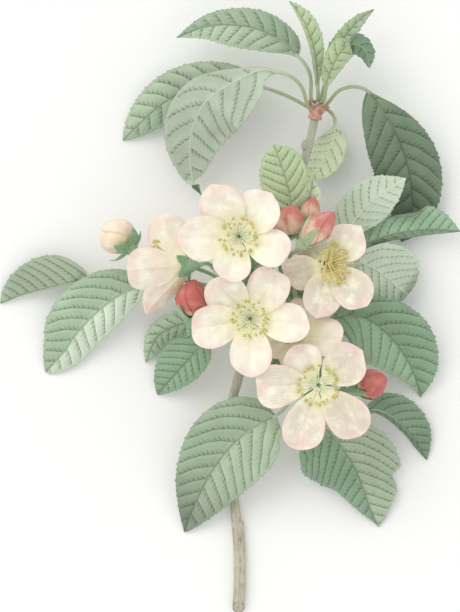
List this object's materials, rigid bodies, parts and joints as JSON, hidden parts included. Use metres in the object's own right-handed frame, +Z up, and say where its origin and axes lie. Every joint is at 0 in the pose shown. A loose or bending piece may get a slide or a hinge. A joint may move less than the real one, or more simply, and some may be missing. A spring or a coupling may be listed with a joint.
{
  "type": "apple blossom branch",
  "caption": "Cut branch of apple blossom lying flat: pale open blooms, red and cream closed buds and toothed oval leaves on a woody shoot.",
  "frame": {"origin": "on the surface that the branch lies on, under the middle of the branch", "axes": "+Y along the branch from its cut end to the leafy tip, +X to the right with the blooms facing the viewer, +Z up from the surface"},
  "size_m": [0.1843, 0.2443, 0.0557],
  "materials": {
    "bark": "smooth grey-brown bark with lenticels",
    "bud_scale": "dry red-brown scales",
    "leaf": "matt blade with sunken veins and a paler underside",
    "young_leaf": "matt light green blade",
    "calyx": "downy green",
    "petal": "soft cream with a pink rim",
    "bud": "soft rose red",
    "pale_bud": "soft cream blushed with pink",
    "stamen": "dusty yellow"
  },
  "bodies": {
    "root": {"wood": "bark", "bud_scales": "bud_scale", "leaf_top_left": "leaf", "leaf_left_back": "leaf", "leaf_left_front": "leaf", "leaf_crown_left": "young_leaf", "leaf_crown_right": "young_leaf", "leaf_crown_front": "young_leaf", "leaf_right_large": "leaf", "leaf_hanging_small": "leaf", "leaf_upper_light": "young_leaf", "leaf_upper_small": "young_leaf", "leaf_right_pale": "leaf", "leaf_right_folded": "leaf", "leaf_right_round": "leaf", "leaf_right_dark": "leaf", "leaf_right_low": "leaf", "leaf_bottom_right": "leaf", "leaf_bottom_left": "leaf", "leaf_left_low": "leaf", "leaf_left_low_back": "leaf", "leaf_left_large": "leaf", "leaf_left_far": "leaf", "leaf_middle_up": "leaf", "leaf_middle_right": "leaf", "leaf_middle_low": "leaf", "bloom_upper_cup": "calyx", "bloom_upper_petals": "petal", "bloom_upper_stamens": "stamen", "bloom_middle_cup": "calyx", "bloom_middle_petals": "petal", "bloom_middle_stamens": "stamen", "bloom_lower_cup": "calyx", "bloom_lower_petals": "petal", "bloom_lower_stamens": "stamen", "bloom_right_cup": "calyx", "bloom_right_petals": "petal", "bloom_right_stamens": "stamen", "bloom_back_cup": "calyx", "bloom_back_petals": "petal", "bloom_back_stamens": "stamen", "bloom_left_cup": "calyx", "bloom_left_petals": "petal", "bloom_left_stamens": "stamen", "bud_left_cup": "calyx", "bud_left_petals": "pale_bud", "bud_red_left_cup": "calyx", "bud_red_left_petals": "bud", "bud_upper_left_cup": "calyx", "bud_upper_left_petals": "bud", "bud_upper_right_cup": "calyx", "bud_upper_right_petals": "bud", "bud_upper_small_cup": "calyx", "bud_upper_small_petals": "bud", "bud_red_right_cup": "calyx", "bud_red_right_petals": "bud"}
  },
  "joints": []
}
